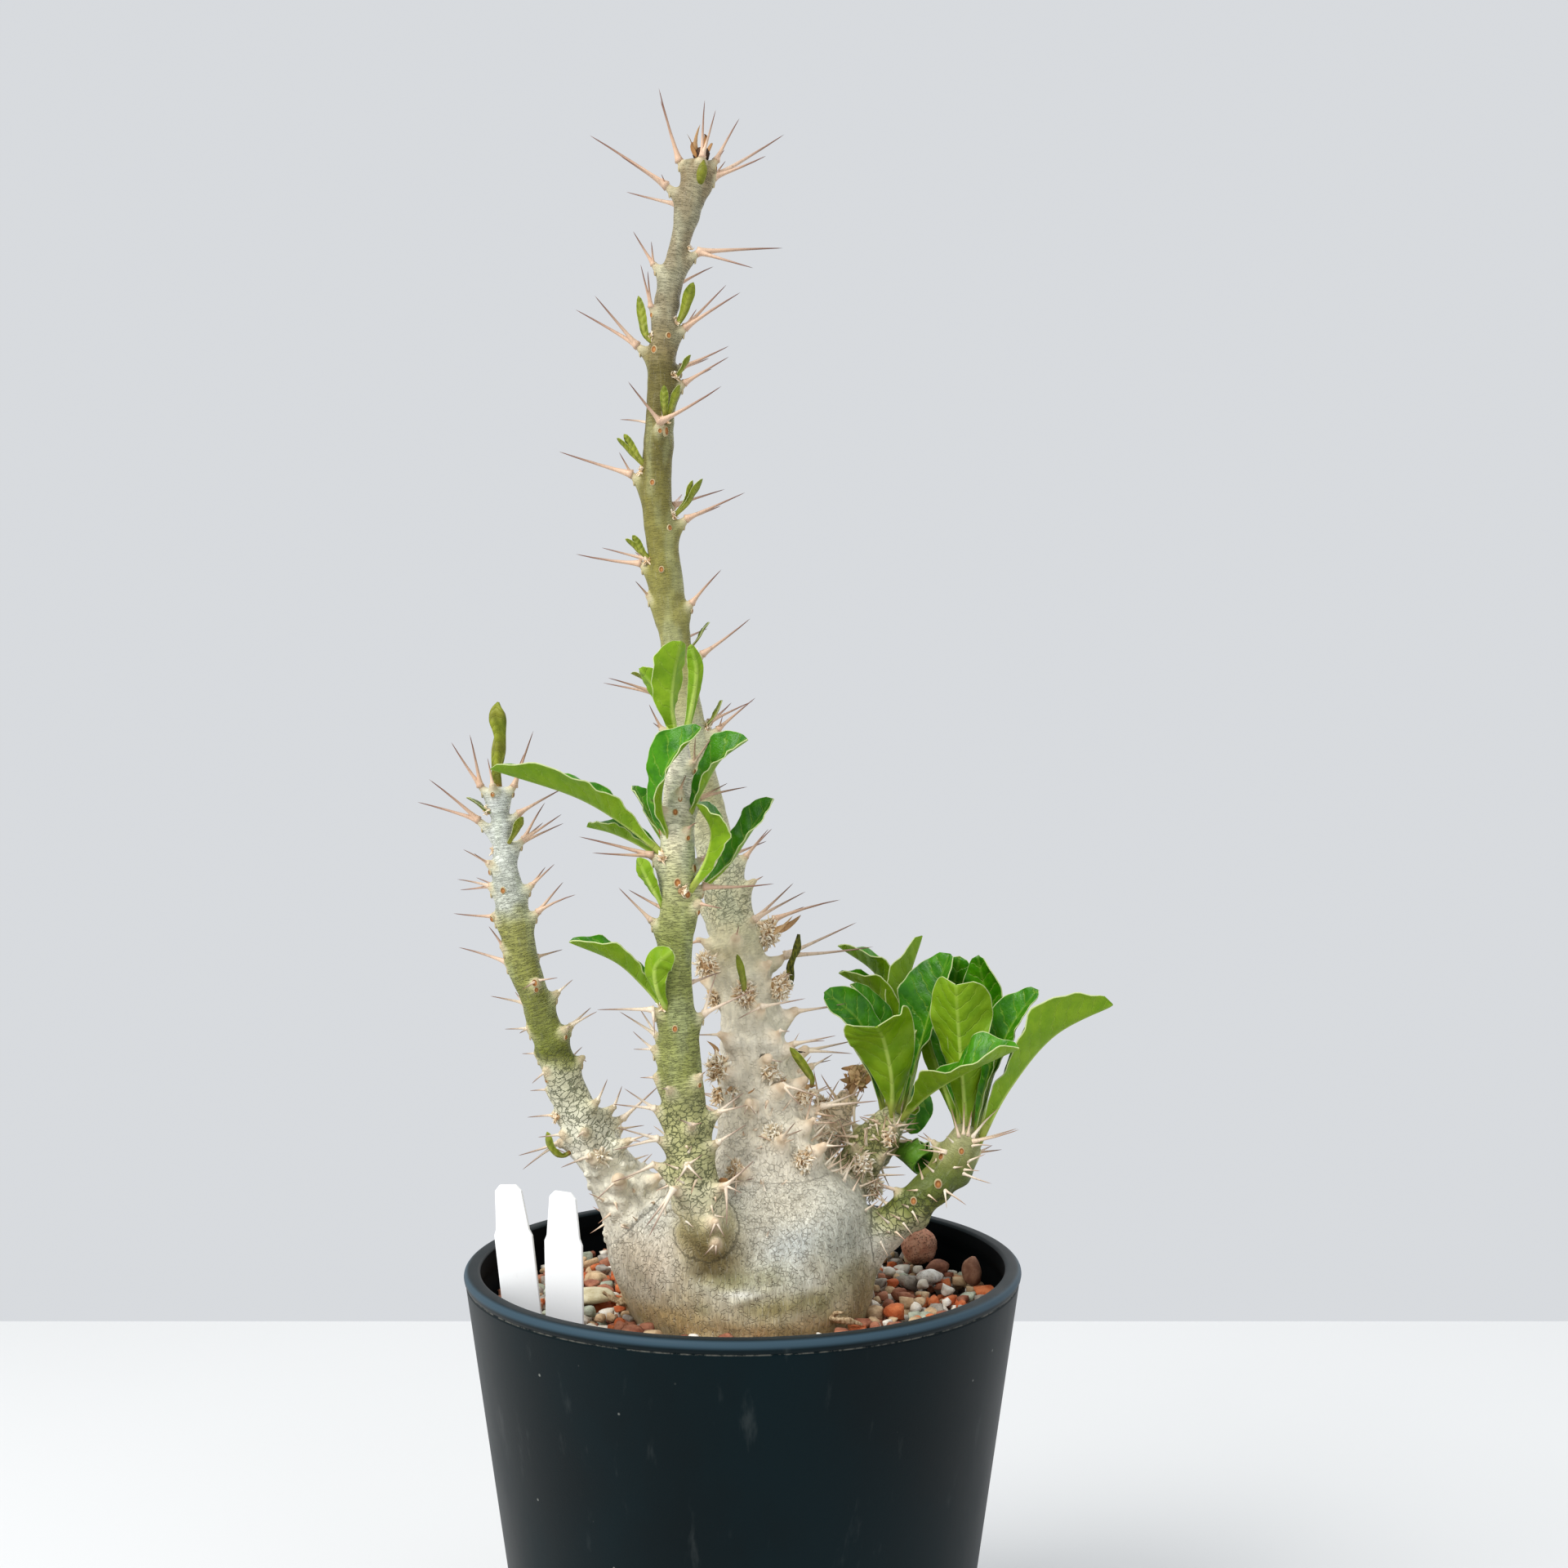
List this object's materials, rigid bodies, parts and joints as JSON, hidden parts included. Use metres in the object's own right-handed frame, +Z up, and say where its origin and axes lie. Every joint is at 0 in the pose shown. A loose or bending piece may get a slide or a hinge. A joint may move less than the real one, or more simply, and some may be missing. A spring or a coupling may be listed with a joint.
{
  "type": "potted kudu lily",
  "caption": "Spiny caudex plant with a tall bare stem, shorter side stems and tufts of folded leaves, in a round plastic pot of gravel with bare plant labels.",
  "frame": {"origin": "centre of the pot's flat underside, on the pot's axis", "axes": "+Z up along the pot's axis, -Y the side that the picture shows, +X that view's right"},
  "size_m": [0.1831, 0.15, 0.4571],
  "materials": {
    "pot": "moulded, matte, dark navy charcoal",
    "gravel": "rough, mixed tan, grey, brown and cream pebbles",
    "bark": "silver-grey to olive bark, cream tubercles and pinkish-brown spines",
    "leaf": "glossy above, paler and duller below",
    "dry_leaf": "dry, matte",
    "lava": "rough, porous, red-brown",
    "brown_stone": "rough, red-brown",
    "pumice": "rough, white with dark specks",
    "cream_stone": "rough, cream-yellow",
    "label": "smooth, white, bare"
  },
  "bodies": {
    "root": {"pot": "pot", "gravel": "gravel", "kudu_lily_body": "bark", "lava_ball": "lava", "brown_stone": "brown_stone", "tall_stone": "brown_stone", "pumice": "pumice", "flat_stone": "cream_stone", "label_left": "label", "label_right": "label", "side_leaf_1": "leaf", "side_leaf_2": "leaf", "side_leaf_3": "leaf", "side_leaf_4": "leaf", "side_leaf_5": "leaf", "side_leaf_6": "leaf", "side_leaf_7": "leaf", "side_leaf_8": "leaf", "side_leaf_9": "leaf", "side_leaf_10": "leaf", "side_leaf_11": "leaf", "right_leaf_1": "leaf", "right_leaf_2": "leaf", "right_leaf_3": "leaf", "right_leaf_4": "leaf", "right_leaf_5": "leaf", "right_leaf_6": "leaf", "right_leaf_7": "leaf", "right_leaf_8": "leaf", "middle_leaf_1": "leaf", "middle_leaf_2": "leaf", "middle_leaf_3": "leaf", "middle_leaf_4": "leaf", "middle_leaf_5": "leaf", "middle_leaf_6": "leaf", "middle_leaf_7": "leaf", "middle_leaf_8": "leaf", "middle_leaf_9": "leaf", "middle_leaf_10": "leaf", "middle_leaf_11": "leaf", "middle_leaf_12": "leaf", "middle_leaf_13": "leaf", "left_leaf_2": "leaf", "left_leaf_3": "leaf", "left_leaf_4": "leaf", "leader_leaf_1": "leaf", "leader_leaf_2": "leaf", "leader_leaf_3": "leaf", "leader_leaf_8": "leaf", "leader_leaf_9": "leaf", "leader_leaf_10": "leaf", "trunk_leaf_1": "leaf", "trunk_leaf_3": "leaf", "leader_leaf_4": "leaf", "leader_leaf_5": "leaf", "leader_leaf_6": "leaf", "leader_leaf_7": "leaf", "left_leaf_1": "leaf", "trunk_leaf_2": "dry_leaf"}
  },
  "joints": []
}
